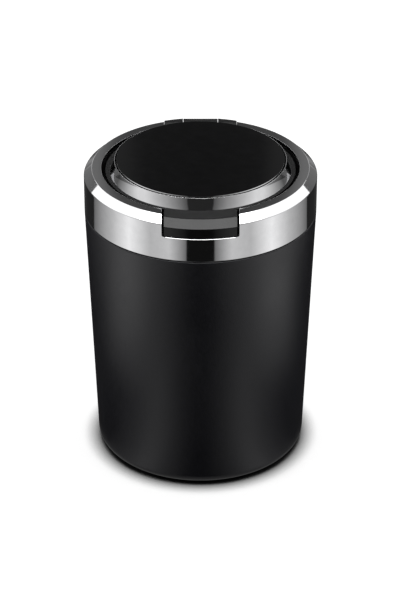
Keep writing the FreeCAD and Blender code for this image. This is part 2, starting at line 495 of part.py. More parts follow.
# Lid crown: chromed coved ring pressed round the plug of the lid and seated on its flange
lid_crown = new_body("lid_crown")
turned(lid_crown, "crown_section", [
    (CROWN_BORE, FLANGE_TOP), (CROWN_FOOT_RADIUS, FLANGE_TOP, "dims.crown_cove_radius", "-"),
    (CROWN_RIM_RADIUS, CROWN_TOP), (CROWN_BORE, CROWN_TOP)])
softened(lid_crown, "crown_edge", "PartDesign::Fillet", "dims.crown_edge_round",
         lambda edge: is_ring(edge, CROWN_RIM_RADIUS, CROWN_TOP))

# Lid disc: gloss black inlay, held in the crown by an adhesive disc
lid_disc = new_body("lid_disc")
DISC_RADIUS = f"({CROWN_BORE} - dims.disc_side_gap)"
turned(lid_disc, "disc_section", [
    ("0", DISC_UNDER), (DISC_RADIUS, DISC_UNDER), (DISC_RADIUS, f"{DISC_TOP} - dims.disc_bevel"),
    (f"{DISC_RADIUS} - dims.disc_bevel", DISC_TOP), ("0", DISC_TOP)])
disc_tape = doc.addObject("Part::Cylinder", "disc_tape")
disc_tape.setExpression("Radius", f"{DISC_RADIUS} - dims.tape_margin")
disc_tape.setExpression("Height", "dims.tape_thick")
disc_tape.setExpression("Placement.Base.z", DISC_SEAT)

# Lid cover: plastic plate screwed under the lid, with a rib that centres the seal
lid_cover = new_body("lid_cover")
RIB_FOOT = f"({COVER_UNDER} - dims.cover_rib_depth)"
RIB_BORE = f"({RIB_RADIUS} - dims.cover_rib_width)"
COVER_RADIUS = f"({COLLAR_BORE} - dims.cover_gap)"
turned(lid_cover, "cover_section", [
    ("0", COVER_UNDER), (RIB_BORE, COVER_UNDER), (RIB_BORE, RIB_FOOT), (RIB_RADIUS, RIB_FOOT),
    (RIB_RADIUS, COVER_UNDER), (COVER_RADIUS, COVER_UNDER),
    (COVER_RADIUS, FLANGE_UNDER), ("0", FLANGE_UNDER)])
cover_hole = cut_up(lid_cover, "cover_hole", round_outline(
    lid_cover, "cover_hole_outline", "XY_Plane", SCREW_CIRCLE, "0",
    "dims.screw_radius + dims.screw_gap"), COVER_UNDER, FLANGE_UNDER)
patterned(lid_cover, "cover_holes", [cover_hole], "dims.screw_count")

# Lid seal: silicone ring under the rim of the cover, closing on the ledge of the core
lid_seal = new_body("lid_seal")
turned(lid_seal, "seal_section", box_corners(
    f"{RIB_RADIUS} + dims.seal_side_gap", f"{COLLAR_BORE} - dims.seal_wall_gap",
    f"{LEDGE} + dims.seal_gap", COVER_UNDER))

# Lid screws: pan-head screws up through the cover into the bosses of the lid
lid_screws = doc.addObject("Part::Feature", "lid_screws")
screw_foot = FreeCAD.Vector(value(SCREW_CIRCLE), 0, value(COVER_UNDER))
screw_head = Part.makeCylinder(
    value("dims.screw_head_radius"), value("dims.screw_head_height"), screw_foot, FreeCAD.Vector(0, 0, -1))
screw_shank = Part.makeCylinder(value("dims.screw_radius"), value("dims.screw_length"), screw_foot)
screw = screw_head.fuse(screw_shank).removeSplitter()
screw_total = round(value("dims.screw_count"))
screws = []
for turn in range(screw_total):
    copy = screw.copy()
    copy.rotate(FreeCAD.Vector(), FreeCAD.Vector(0, 0, 1), turn * 360 / screw_total)
    screws.append(copy)
lid_screws.Shape = Part.makeCompound(screws)

# Every object is sound before the parts are written
doc.recompute()
for item in doc.Objects:
    if "Invalid" in item.State or "Error" in item.State:
        raise RuntimeError(f"{item.Name} failed to rebuild")
PIECES = (outer_cup, foot_pad, neck_ring, ash_liner, collar_ring, collar_core, head_gasket, snuffer_plate,
          hinge_pin, lid_shell, lid_crown, lid_disc, disc_tape, lid_cover, lid_seal, lid_screws)
for piece in PIECES:
    if piece.Shape.isNull() or not piece.Shape.isValid():
        raise RuntimeError(f"{piece.Name} has no sound shape")
    piece.Label = piece.Name
    piece.Shape.exportStep(f"parts/{piece.Name}.step")
    extent = piece.Shape.BoundBox
    print(f"{piece.Name}: {len(piece.Shape.Solids)} solid(s), {piece.Shape.Volume / 1000:.2f} cm3, "
          f"z {extent.ZMin:.2f} to {extent.ZMax:.2f}, y {extent.YMin:.2f} to {extent.YMax:.2f}")
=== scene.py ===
import math
import bpy
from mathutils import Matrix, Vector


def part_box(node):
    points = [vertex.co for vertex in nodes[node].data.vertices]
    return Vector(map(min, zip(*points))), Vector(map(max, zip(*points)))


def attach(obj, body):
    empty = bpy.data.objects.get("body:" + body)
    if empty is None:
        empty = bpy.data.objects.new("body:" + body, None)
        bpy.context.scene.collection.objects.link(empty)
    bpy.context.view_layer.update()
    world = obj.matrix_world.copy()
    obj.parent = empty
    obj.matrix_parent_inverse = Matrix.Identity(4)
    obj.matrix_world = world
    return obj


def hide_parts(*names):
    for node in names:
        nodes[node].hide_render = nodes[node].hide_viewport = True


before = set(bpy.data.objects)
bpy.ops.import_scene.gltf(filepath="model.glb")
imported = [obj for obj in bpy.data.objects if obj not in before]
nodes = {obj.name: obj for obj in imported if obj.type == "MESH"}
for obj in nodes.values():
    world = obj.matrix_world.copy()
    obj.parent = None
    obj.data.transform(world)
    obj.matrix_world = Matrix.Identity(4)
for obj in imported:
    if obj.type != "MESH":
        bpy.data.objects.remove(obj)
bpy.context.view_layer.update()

# Outer cup: a tapered drawn aluminium cup with a rolled base edge and a softened rim.
# It is powder coated in satin black, which leaves a very fine even grain all over.
MM = 0.001
foot, rim = (corner[2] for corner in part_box("outer_cup"))
mouth_radius, base_radius = 38.0 * MM, 34.7 * MM
cup_wall, cup_floor, inner_bend = 1.2 * MM, 1.5 * MM, 6.0 * MM
base_round, inner_round, rim_round = 3.8 * MM, 2.6 * MM, 0.4 * MM
recess_radius, recess_depth = 27.3 * MM, 0.9 * MM
axis_gap, hair = 0.05 * MM, 0.001 * MM
wall_rings = (0.15, 0.35, 0.55, 0.75, 0.9)
slope = (mouth_radius - base_radius) / (rim - foot)
lean = math.degrees(math.atan(slope))
base_centre = base_radius - base_round * (math.sqrt(1 + slope * slope) - slope)
recess_top, floor_top = foot + recess_depth, foot + cup_floor


def arc(radius, centre_radius, centre_height, start, stop, steps):
    # Points of a round in a section, with angles in degrees from the outward direction
    points = []
    for step in range(steps + 1):
        angle = math.radians(start + (stop - start) * step / steps)
        points.append((centre_radius + radius * math.cos(angle), centre_height + radius * math.sin(angle)))
    return points


cup_section = [(recess_radius, recess_top), (recess_radius, foot), (base_centre, foot)]
cup_section += arc(base_round, base_centre, foot + base_round, -90, -lean, 12)[1:]
cup_section += [(base_radius + slope * (rim - foot) * ring, foot + (rim - foot) * ring)
                for ring in wall_rings]
cup_section += arc(rim_round, mouth_radius - rim_round - slope * rim_round, rim - rim_round, -lean, 90, 5)
cup_section += [
    (mouth_radius - cup_wall, rim), (base_radius + slope * inner_bend - cup_wall, foot + inner_bend),
    (base_radius - cup_wall - inner_round, floor_top), (axis_gap, floor_top), (axis_gap, recess_top)]


def turned_piece(name, section, segments=192):
    # A ring of points is extruded and resized along a closed section, given as (radius, height) pairs
    bpy.ops.object.select_all(action="DESELECT")
    radius, height = section[0]
    bpy.ops.mesh.primitive_circle_add(vertices=segments, radius=radius, location=(0, 0, height))
    piece = bpy.context.object
    piece.name = piece.data.name = name
    bpy.ops.object.transform_apply(location=True, rotation=True, scale=True)
    bpy.ops.object.mode_set(mode="EDIT")
    bpy.ops.mesh.select_all(action="SELECT")
    for next_radius, next_height in section[1:] + section[:1]:
        bpy.ops.mesh.extrude_edges_move(TRANSFORM_OT_translate={"value": (0, 0, next_height - height)})
        ratio = next_radius / radius
        bpy.ops.transform.resize(value=(ratio, ratio, 1), center_override=(0, 0, next_height))
        radius, height = next_radius, next_height
    bpy.ops.mesh.select_all(action="SELECT")
    bpy.ops.mesh.remove_doubles(threshold=hair)
    bpy.ops.mesh.normals_make_consistent(inside=False)
    bpy.ops.object.mode_set(mode="OBJECT")
    return piece


def smooth_finish(piece):
    # Smooth shading that keeps the wide faces true and the marked edges sharp
    bpy.ops.object.select_all(action="DESELECT")
    piece.select_set(True)
    bpy.context.view_layer.objects.active = piece
    bpy.ops.object.shade_smooth()
    weighted = piece.modifiers.new("even_faces", "WEIGHTED_NORMAL")
    weighted.weight = 100
    weighted.keep_sharp = True
    bpy.ops.object.modifier_apply(modifier=weighted.name)


cup = turned_piece("cup_body", cup_section)
smooth_finish(cup)


def add_node(tree, kind, **settings):
    made = tree.nodes.new(kind)
    for key, setting in settings.items():
        setattr(made, key, setting)
    return made


def reckon(tree, operation, second=0.5, third=0.5):
    # A sum whose first value is linked in, and the others too where they change
    made = add_node(tree, "ShaderNodeMath", operation=operation)
    made.inputs[1].default_value = second
    made.inputs[2].default_value = third
    return made


def level_range(tree, start, stop, low=0.0, high=1.0):
    # Turns a value between start and stop into one between low and high
    made = add_node(tree, "ShaderNodeMapRange")
    for label, level in (("From Min", start), ("From Max", stop), ("To Min", low), ("To Max", high)):
        made.inputs[label].default_value = level
    return made


def effect_group(name, scale, outputs):
    # An empty node group that takes a place and a scale and puts out values
    group = bpy.data.node_groups.new(name, "ShaderNodeTree")
    group.interface.new_socket("Place", in_out="INPUT", socket_type="NodeSocketVector")
    group.interface.new_socket("Scale", in_out="INPUT", socket_type="NodeSocketFloat").default_value = scale
    for label in outputs:
        group.interface.new_socket(label, in_out="OUTPUT", socket_type="NodeSocketFloat")
    return group, add_node(group, "NodeGroupInput"), add_node(group, "NodeGroupOutput")


# The grain group gives a fine two-scale grain as a height and as a mask
grain_group, grain_in, grain_out = effect_group("fine_grain", 1500.0, ["Height", "Mask"])
fine = add_node(grain_group, "ShaderNodeTexNoise")
fine.inputs["Detail"].default_value = 3.0
fine.inputs["Roughness"].default_value = 0.6
coarse = add_node(grain_group, "ShaderNodeTexNoise")
coarse.inputs["Detail"].default_value = 2.0
coarse_scale = reckon(grain_group, "MULTIPLY", 0.23)
coarse_share = reckon(grain_group, "MULTIPLY", 0.3)
both_grains = reckon(grain_group, "MULTIPLY_ADD", 0.7)
grain_mask = level_range(grain_group, 0.38, 0.62)
link = grain_group.links.new
link(grain_in.outputs["Place"], fine.inputs["Vector"])
link(grain_in.outputs["Scale"], fine.inputs["Scale"])
link(grain_in.outputs["Place"], coarse.inputs["Vector"])
link(grain_in.outputs["Scale"], coarse_scale.inputs[0])
link(coarse_scale.outputs[0], coarse.inputs["Scale"])
link(coarse.outputs["Fac"], coarse_share.inputs[0])
link(fine.outputs["Fac"], both_grains.inputs[0])
link(coarse_share.outputs[0], both_grains.inputs[2])
link(both_grains.outputs[0], grain_mask.inputs["Value"])
link(both_grains.outputs[0], grain_out.inputs["Height"])
link(grain_mask.outputs["Result"], grain_out.inputs["Mask"])

# The handling group gives the broad smudges that hands leave, as a mask
marks_group, marks_in, marks_out = effect_group("handling_marks", 40.0, ["Smudge"])
smudge = add_node(marks_group, "ShaderNodeTexNoise")
smudge.inputs["Detail"].default_value = 4.0
smudge_mask = level_range(marks_group, 0.42, 0.68)
link = marks_group.links.new
link(marks_in.outputs["Place"], smudge.inputs["Vector"])
link(marks_in.outputs["Scale"], smudge.inputs["Scale"])
link(smudge.outputs["Fac"], smudge_mask.inputs["Value"])
link(smudge_mask.outputs["Result"], marks_out.inputs["Smudge"])


def finish_material(name, dark, light, rough, rough_more, grain_scale, relief_depth, metallic=0.0,
                    specular=0.5):
    # A shader with grain in colour, roughness and relief, and handling marks in roughness
    material = bpy.data.materials.new(name)
    material.use_nodes = True
    tree = material.node_tree
    shader = tree.nodes["Principled BSDF"]
    shader.inputs["Metallic"].default_value = metallic
    shader.inputs["Specular IOR Level"].default_value = specular
    place = add_node(tree, "ShaderNodeTexCoord")
    grain = add_node(tree, "ShaderNodeGroup", node_tree=grain_group)
    grain.inputs["Scale"].default_value = grain_scale
    marks = add_node(tree, "ShaderNodeGroup", node_tree=marks_group)
    colour = add_node(tree, "ShaderNodeMix", data_type="RGBA")
    colour.inputs["A"].default_value = (*dark, 1.0)
    colour.inputs["B"].default_value = (*light, 1.0)
    smudged = reckon(tree, "MULTIPLY_ADD", rough_more, rough)
    grained = reckon(tree, "MULTIPLY_ADD", rough_more)
    relief = add_node(tree, "ShaderNodeBump")
    relief.inputs["Strength"].default_value = 1.0
    relief.inputs["Distance"].default_value = relief_depth
    link = tree.links.new
    link(place.outputs["Object"], grain.inputs["Place"])
    link(place.outputs["Object"], marks.inputs["Place"])
    link(grain.outputs["Mask"], colour.inputs["Factor"])
    link(colour.outputs["Result"], shader.inputs["Base Color"])
    link(marks.outputs["Smudge"], smudged.inputs[0])
    link(grain.outputs["Mask"], grained.inputs[0])
    link(smudged.outputs[0], grained.inputs[2])
    link(grained.outputs[0], shader.inputs["Roughness"])
    link(grain.outputs["Height"], relief.inputs["Height"])
    link(relief.outputs["Normal"], shader.inputs["Normal"])
    return material


satin_coat = finish_material(
    "satin_coat", dark=(0.0027, 0.0027, 0.0056), light=(0.0052, 0.0052, 0.0092), rough=0.31, rough_more=0.06,
    grain_scale=2600.0, relief_depth=0.04 * MM, specular=0.62)
cup.data.materials.append(satin_coat)
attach(cup, "cup")
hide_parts("outer_cup")


def dress(material, *names):
    for name in names:
        for material_slot in nodes[name].material_slots:
            material_slot.material = material


rubber = finish_material(
    "rubber", dark=(0.018, 0.018, 0.018), light=(0.03, 0.03, 0.029), rough=0.72, rough_more=0.1,
    grain_scale=1400.0, relief_depth=0.06 * MM)
dress(rubber, "foot_pad")

# Neck ring and collar core: heat-resistant black mouldings with a fine spark-eroded texture.
# The neck ring is bonded in the cup, and the core turns in it and carries the collar and hinge.
moulded_black = finish_material(
    "moulded_black", dark=(0.007, 0.007, 0.0073), light=(0.013, 0.013, 0.0134), rough=0.34, rough_more=0.08,
    grain_scale=3200.0, relief_depth=0.02 * MM, specular=0.25)
dress(moulded_black, "neck_ring", "collar_core")

# Head gasket and lid seal: soft grey silicone rings, moulded in one piece each.
# They are fitted dry, the gasket between core and neck and the seal round the lid.
silicone = finish_material(
    "silicone", dark=(0.06, 0.06, 0.062), light=(0.085, 0.085, 0.087), rough=0.55, rough_more=0.12,
    grain_scale=900.0, relief_depth=0.03 * MM)
dress(silicone, "head_gasket", "lid_seal")

# Ash liner and snuffer plate: stainless sheet, deep drawn and spun, with turning lines.
# The liner stands loose in the cup and the plate lies on the shelf of the core.
stainless = finish_material(
    "stainless", dark=(0.46, 0.455, 0.44), light=(0.6, 0.595, 0.58), rough=0.24, rough_more=0.08,
    grain_scale=700.0, relief_depth=0.02 * MM, metallic=1.0)
rings_group, rings_in, rings_out = effect_group("turning_lines", 1800.0, ["Lines"])
sheet_place = add_node(rings_group, "ShaderNodeSeparateXYZ")
level_place = add_node(rings_group, "ShaderNodeCombineXYZ")
from_axis = add_node(rings_group, "ShaderNodeVectorMath", operation="LENGTH")
ring_place = add_node(rings_group, "ShaderNodeCombineXYZ")
ring_noise = add_node(rings_group, "ShaderNodeTexNoise")
ring_noise.inputs["Detail"].default_value = 3.0
link = rings_group.links.new
link(rings_in.outputs["Place"], sheet_place.inputs[0])
link(sheet_place.outputs["X"], level_place.inputs["X"])
link(sheet_place.outputs["Y"], level_place.inputs["Y"])
link(level_place.outputs[0], from_axis.inputs[0])
link(from_axis.outputs["Value"], ring_place.inputs["X"])
link(sheet_place.outputs["Z"], ring_place.inputs["Y"])
link(ring_place.outputs[0], ring_noise.inputs["Vector"])
link(rings_in.outputs["Scale"], ring_noise.inputs["Scale"])
link(ring_noise.outputs["Fac"], rings_out.inputs["Lines"])

# The turning lines take the place of the grain in the relief of the sheet
sheet_tree = stainless.node_tree
sheet_coordinates = add_node(sheet_tree, "ShaderNodeTexCoord")
turning_lines = add_node(sheet_tree, "ShaderNodeGroup", node_tree=rings_group)
sheet_tree.links.new(sheet_coordinates.outputs["Object"], turning_lines.inputs["Place"])
sheet_tree.links.new(turning_lines.outputs["Lines"], sheet_tree.nodes["Bump"].inputs["Height"])
dress(stainless, "ash_liner", "snuffer_plate")

# Chrome collar: a bevelled ring, bright chrome on all its outer faces, pressed over the core.
# One notch at the front takes the lid tab, and one behind it takes the hinge.
collar_foot, collar_top = (corner[2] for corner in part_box("collar_ring"))
collar_radius, collar_bore, skirt_bore = 38.0 * MM, 32.3 * MM, 36.8 * MM
bevel_reach, bevel_drop, collar_lip = 2.6 * MM, 2.4 * MM, 1.0 * MM
bevel_radius, bevel_foot = collar_radius - bevel_reach, collar_top - bevel_drop
inner_bevel_radius, inner_bevel_drop = 34.85 * MM, 0.45 * MM
edge_round, bore_round, knee_round = 0.3 * MM, 0.06 * MM, 0.45 * MM
notch_width, notch_depth, notch_corner, notch_centre = 24.5 * MM, 6.7 * MM, 0.6 * MM, 36.0 * MM
cutter_size, outer_band = 20.0 * MM, 0.1 * MM
ledge_break, collar_break = 0.055 * MM, 0.12 * MM
ledge = collar_top - notch_depth
bevel_angle = math.degrees(math.atan2(bevel_reach, bevel_drop))
knee_reach = knee_round * math.tan(math.radians(bevel_angle / 2))
top_reach = edge_round * math.tan(math.radians((90 - bevel_angle) / 2))
collar_section = arc(edge_round, collar_radius - edge_round, collar_foot + edge_round, -90, 0, 4)
collar_section += arc(knee_round, collar_radius - knee_round, bevel_foot - knee_reach, 0, bevel_angle, 4)
collar_section += arc(edge_round, bevel_radius - top_reach, collar_top - edge_round, bevel_angle, 90, 4)
collar_section += arc(bore_round, collar_bore + bore_round, collar_top - bore_round, 90, 180, 4)
collar_section += [
    (collar_bore, collar_top - collar_lip), (inner_bevel_radius, collar_top - collar_lip),
    (skirt_bore, bevel_foot - inner_bevel_drop), (skirt_bore, collar_foot)]
collar = turned_piece("collar", collar_section)


def pick_edges(piece, chosen):
    # Leaves the piece in edit mode with those edges selected whose two ends pass the test
    bpy.ops.object.mode_set(mode="EDIT")
    bpy.ops.mesh.select_mode(type="EDGE")
    bpy.ops.mesh.select_all(action="DESELECT")
    bpy.ops.object.mode_set(mode="OBJECT")
    for edge in piece.data.edges:
        first, second = (piece.data.vertices[index].co for index in edge.vertices)
        edge.select = chosen(first, second)
    bpy.ops.object.mode_set(mode="EDIT")


def along_notch(first, second):
    # The two lower edges of a cutter that run from the front to the rear
    return max(first.z, second.z) < ledge + hair and abs(first.x - second.x) < hair


def on_ledge(first, second):
    # The outer edge of the floor of a notch
    return all(abs(end.z - ledge) < hair and math.hypot(end.x, end.y) > collar_radius - outer_band
               for end in (first, second))


def notch_cutter(across):
    # A block with its two lower edges rounded, as the corners of the notch are
    bpy.ops.object.select_all(action="DESELECT")
    bpy.ops.mesh.primitive_cube_add(size=1, location=(0, across, ledge + cutter_size / 2))
    cutter = bpy.context.object
    cutter.scale = (notch_width, cutter_size, cutter_size)
    bpy.ops.object.transform_apply(location=True, rotation=True, scale=True)
    pick_edges(cutter, along_notch)
    bpy.ops.mesh.bevel(offset=notch_corner, segments=4)
    bpy.ops.object.mode_set(mode="OBJECT")
    return cutter


def soften_edges(piece, width, sharpest):
    # Breaks every edge that turns by more than the sharpest angle allowed, in degrees
    soft_edges = piece.modifiers.new("soft_edges", "BEVEL")
    soft_edges.width = width
    soft_edges.segments = 2
    soft_edges.limit_method = "ANGLE"
    soft_edges.angle_limit = math.radians(sharpest)
    bpy.ops.object.modifier_apply(modifier=soft_edges.name)


for across in (-notch_centre, notch_centre):
    cutter = notch_cutter(across)
    cut = collar.modifiers.new("notch", "BOOLEAN")
    cut.object = cutter
    cut.operation = "DIFFERENCE"
    cut.solver = "EXACT"
    bpy.ops.object.select_all(action="DESELECT")
    collar.select_set(True)
    bpy.context.view_layer.objects.active = collar
    bpy.ops.object.modifier_apply(modifier=cut.name)
    bpy.data.objects.remove(cutter)
pick_edges(collar, on_ledge)
bpy.ops.mesh.bevel(offset=ledge_break, segments=1)
bpy.ops.mesh.mark_sharp()
bpy.ops.object.mode_set(mode="OBJECT")
soften_edges(collar, collar_break, sharpest=60)
smooth_finish(collar)
chrome = finish_material(
    "chrome", dark=(0.80, 0.80, 0.81), light=(0.84, 0.84, 0.85), rough=0.035, rough_more=0.02,
    grain_scale=400.0, relief_depth=0.001 * MM, metallic=1.0)
collar.data.materials.append(chrome)
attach(collar, "head")
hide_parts("collar_ring")

# Hinge pin and lid screws: drawn steel rod, and small headed steel screws.
# The pin is pressed into the ears of the core, and the screws hold the cover under the lid.
bright_steel = finish_material(
    "bright_steel", dark=(0.42, 0.42, 0.42), light=(0.55, 0.55, 0.55), rough=0.25, rough_more=0.08,
    grain_scale=900.0, relief_depth=0.01 * MM, metallic=1.0)
dress(bright_steel, "hinge_pin", "lid_screws")

# Lid shell and lid cover: satin black mouldings, the cover screwed under the shell.
# The shell has the flange, the lift tab and the knuckle, and its level faces are left matt.
satin_plastic = finish_material(
    "satin_plastic", dark=(0.006, 0.006, 0.0062), light=(0.009, 0.009, 0.0093), rough=0.13, rough_more=0.03,
    grain_scale=2800.0, relief_depth=0.004 * MM, specular=0.36)
shell_tree = satin_plastic.node_tree
shell_shader = shell_tree.nodes["Principled BSDF"]
polish = shell_shader.inputs["Roughness"].links[0].from_socket
facing = add_node(shell_tree, "ShaderNodeTexCoord")
upward = add_node(shell_tree, "ShaderNodeSeparateXYZ")
flat_top = level_range(shell_tree, 0.9, 0.99)
matt_top = reckon(shell_tree, "MULTIPLY_ADD", 0.6)
link = shell_tree.links.new
link(facing.outputs["Normal"], upward.inputs[0])
link(upward.outputs["Z"], flat_top.inputs["Value"])
link(flat_top.outputs["Result"], matt_top.inputs[0])
link(polish, matt_top.inputs[2])
link(matt_top.outputs[0], shell_shader.inputs["Roughness"])
dress(satin_plastic, "lid_shell")
dress(moulded_black, "lid_cover")

# Lid crown: a coved ring in bright chrome, with fine breaks on its edges.
# It is pressed round the plug of the lid, and its top stays a hair below the solid's.
crown_sink, crown_break = 0.12 * MM, 0.03 * MM
crown_foot, crown_top = (corner[2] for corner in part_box("lid_crown"))
crown_top -= crown_sink
crown_bore, crown_reach, crown_rim, cove = 27.85 * MM, 29.7 * MM, 28.0 * MM, 10.0 * MM
chord = math.hypot(crown_reach - crown_rim, crown_top - crown_foot)
chord_middle = ((crown_reach + crown_rim) / 2, (crown_foot + crown_top) / 2)
outward = ((crown_top - crown_foot) / chord, (crown_reach - crown_rim) / chord)
cove_offset = math.sqrt(cove ** 2 - chord ** 2 / 4)
cove_radius = chord_middle[0] + outward[0] * cove_offset
cove_height = chord_middle[1] + outward[1] * cove_offset
cove_start = math.degrees(math.atan2(crown_foot - cove_height, crown_reach - cove_radius)) % 360
cove_stop = math.degrees(math.atan2(crown_top - cove_height, crown_rim - cove_radius)) % 360
crown_section = arc(cove, cove_radius, cove_height, cove_start, cove_stop, 16)
crown_section += [(crown_bore, crown_top), (crown_bore, crown_foot)]
crown = turned_piece("crown", crown_section)
soften_edges(crown, crown_break, sharpest=40)
smooth_finish(crown)
crown.data.materials.append(chrome)
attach(crown, "lid")
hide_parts("lid_crown")

# Lid disc: a gloss black inlay held by a foam adhesive disc, with a thin bright line round its edge.
# It stands a little proud of the crown, so a dark step shows between the two.
disc_foot, disc_top = (corner[2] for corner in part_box("lid_disc"))
disc_radius, line_height, line_reach = 27.42 * MM, 0.24 * MM, 0.12 * MM
line_rise, line_lean = 0.06 * MM, 0.02 * MM
line_foot, line_bore = disc_top - line_height, disc_radius - line_reach
disc = turned_piece("disc", [
    (axis_gap, disc_foot), (disc_radius, disc_foot), (disc_radius, line_foot), (line_bore, line_foot),
    (line_bore, disc_top), (axis_gap, disc_top)])
smooth_finish(disc)
piano_black = finish_material(
    "piano_black", dark=(0.002, 0.002, 0.0022), light=(0.003, 0.003, 0.0033), rough=0.06, rough_more=0.03,
    grain_scale=300.0, relief_depth=0.0005 * MM, specular=0.35)
disc.data.materials.append(piano_black)
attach(disc, "lid")
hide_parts("lid_disc")
trim = turned_piece("disc_trim", [
    (line_bore, line_foot), (disc_radius, line_foot), (disc_radius - line_lean, line_foot + line_rise),
    (line_bore + line_lean, disc_top), (line_bore, disc_top)])
bpy.ops.object.mode_set(mode="EDIT")
bpy.ops.mesh.select_mode(type="EDGE")
bpy.ops.mesh.select_all(action="DESELECT")
bpy.ops.mesh.edges_select_sharp(sharpness=math.radians(20))
bpy.ops.mesh.mark_sharp()
bpy.ops.object.mode_set(mode="OBJECT")
smooth_finish(trim)
trim.data.materials.append(chrome)
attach(trim, "lid")
foam_tape = finish_material(
    "foam_tape", dark=(0.68, 0.67, 0.63), light=(0.76, 0.75, 0.71), rough=0.85, rough_more=0.08,
    grain_scale=900.0, relief_depth=0.03 * MM)
dress(foam_tape, "disc_tape")

# Studio floor: a plain pale paper sheet with a soft shadow under the cup, partly cast by the lamp and partly
# painted: an occlusion test darkens the paper colour and the camera glow near the cup.
# It shows white to the camera, and the reflector cards below take its place in the reflections.
floor_size, shadow_reach = 8.0, 8.0 * MM
bpy.ops.object.select_all(action="DESELECT")
bpy.ops.mesh.primitive_plane_add(size=floor_size)
floor = bpy.context.object
floor.name = "floor"
floor_paper = bpy.data.materials.new("floor_paper")
floor_paper.use_nodes = True
tree = floor_paper.node_tree
shader = tree.nodes["Principled BSDF"]
shader.inputs["Roughness"].default_value = 0.9
shader.inputs["Specular IOR Level"].default_value = 0.0
# Painted shadow: close to the cup, the occlusion blends the paper colour towards near black and dims its
# white glow to the camera.
painted_shadow_occlusion = add_node(tree, "ShaderNodeAmbientOcclusion", samples=16)
painted_shadow_occlusion.inputs["Distance"].default_value = shadow_reach
painted_shadow_clear = level_range(tree, 0.42, 0.9)
painted_shadow_paper = add_node(tree, "ShaderNodeMix", data_type="RGBA")
painted_shadow_paper.inputs["A"].default_value = (0.02, 0.02, 0.02, 1)
painted_shadow_paper.inputs["B"].default_value = (0.45, 0.45, 0.45, 1)
path = add_node(tree, "ShaderNodeLightPath")
painted_shadow_seen = reckon(tree, "MULTIPLY")
painted_shadow_glow = reckon(tree, "MULTIPLY", 0.72)
glow = add_node(tree, "ShaderNodeEmission")
both = add_node(tree, "ShaderNodeAddShader")
link = tree.links.new
link(painted_shadow_occlusion.outputs["AO"], painted_shadow_clear.inputs["Value"])
link(painted_shadow_clear.outputs["Result"], painted_shadow_paper.inputs["Factor"])
link(painted_shadow_paper.outputs["Result"], shader.inputs["Base Color"])
link(path.outputs["Is Camera Ray"], painted_shadow_seen.inputs[0])
link(painted_shadow_clear.outputs["Result"], painted_shadow_seen.inputs[1])
link(painted_shadow_seen.outputs[0], painted_shadow_glow.inputs[0])
link(painted_shadow_glow.outputs[0], glow.inputs["Strength"])
link(shader.outputs["BSDF"], both.inputs[0])
link(glow.outputs["Emission"], both.inputs[1])
link(both.outputs[0], tree.nodes["Material Output"].inputs["Surface"])
floor.data.materials.append(floor_paper)
floor.visible_glossy = False

# Reflector cards: a round table card in rings and a tall round wall, all seen only in reflections.
# Each is graded round the object: a dark slot in front, pale sides and a dark rear.
card_bore, card_ring, table_reach = 0.0365, 0.17, 2.0
wall_height, wall_thickness, wall_foot, card_lift = 2.6, 0.01, 0.002, 0.0008
inner_blend, outer_blend, far_blend = (0.08, 0.15), (0.16, 0.18), (0.35, 0.8)
cards = turned_piece("reflector_cards", [
    (card_bore, card_lift), (card_ring, card_lift), (table_reach, card_lift), (table_reach, wall_height),
    (table_reach + wall_thickness, wall_height), (table_reach + wall_thickness, 0.0)], segments=96)
card = bpy.data.materials.new("reflector_card")
card.use_nodes = True
tree = card.node_tree
tree.nodes.remove(tree.nodes["Principled BSDF"])
place = add_node(tree, "ShaderNodeTexCoord")
front_first = add_node(tree, "ShaderNodeMapping")
front_first.inputs["Rotation"].default_value = (0, 0, math.radians(-90))
radial = add_node(tree, "ShaderNodeTexGradient", gradient_type="RADIAL")
mirrored = reckon(tree, "PINGPONG", 0.5)
from_front = reckon(tree, "MULTIPLY", 2.0)
split = add_node(tree, "ShaderNodeSeparateXYZ")
on_wall = reckon(tree, "GREATER_THAN", wall_foot)
reach = add_node(tree, "ShaderNodeVectorMath", operation="LENGTH")
far_fade = level_range(tree, *far_blend, 1.0, 0.4)


def graded(tree, stops):
    # Levels against the angle from the front, in degrees
    made = add_node(tree, "ShaderNodeValToRGB")
    while len(made.color_ramp.elements) < len(stops):
        made.color_ramp.elements.new(0.5)
    for element, (angle, level) in zip(made.color_ramp.elements, stops):
        element.position = angle / 180
        element.color = (level, level, level, 1)
    return made


foot_levels = graded(tree, [
    (0, 0.02), (6, 0.04), (12, 0.09), (24, 0.26), (32, 0.44), (40, 0.45), (48, 0.27), (60, 0.12), (75, 0.03),
    (180, 0.01)])
inner_levels = graded(tree, [
    (0, 0.004), (18, 0.02), (30, 0.12), (45, 0.45), (62, 1.3), (78, 1.2), (92, 0.5), (104, 0.1), (118, 0.01),
    (180, 0.01)])
outer_levels = graded(tree, [
    (0, 0.006), (12.2, 0.006), (12.8, 0.17), (28, 0.62), (46, 0.53), (68, 1.0), (90, 0.53), (119.5, 0.15),
    (120.5, 0.016), (140, 0.02), (152, 0.04), (180, 0.04)])
wall_levels = graded(tree, [
    (0, 0.02), (16, 0.02), (17, 0.09), (50, 0.46), (74, 0.8), (84, 0.8), (108, 0.32), (122, 0.1), (153, 0.17),
    (158, 0.6), (169, 0.6), (173, 0.16), (176.55, 0.16), (176.9, 0.09), (177.25, 0.06), (180, 0.05)])
strength = reckon(tree, "MAXIMUM")
glow = add_node(tree, "ShaderNodeEmission")
link = tree.links.new
link(place.outputs["Object"], front_first.inputs["Vector"])
link(front_first.outputs["Vector"], radial.inputs["Vector"])
link(radial.outputs["Fac"], mirrored.inputs[0])
link(mirrored.outputs[0], from_front.inputs[0])
link(place.outputs["Object"], split.inputs[0])
link(split.outputs["Z"], on_wall.inputs[0])
link(place.outputs["Object"], reach.inputs[0])
link(reach.outputs["Value"], far_fade.inputs["Value"])
link(from_front.outputs[0], foot_levels.inputs["Fac"])
blended = foot_levels.outputs["Color"]
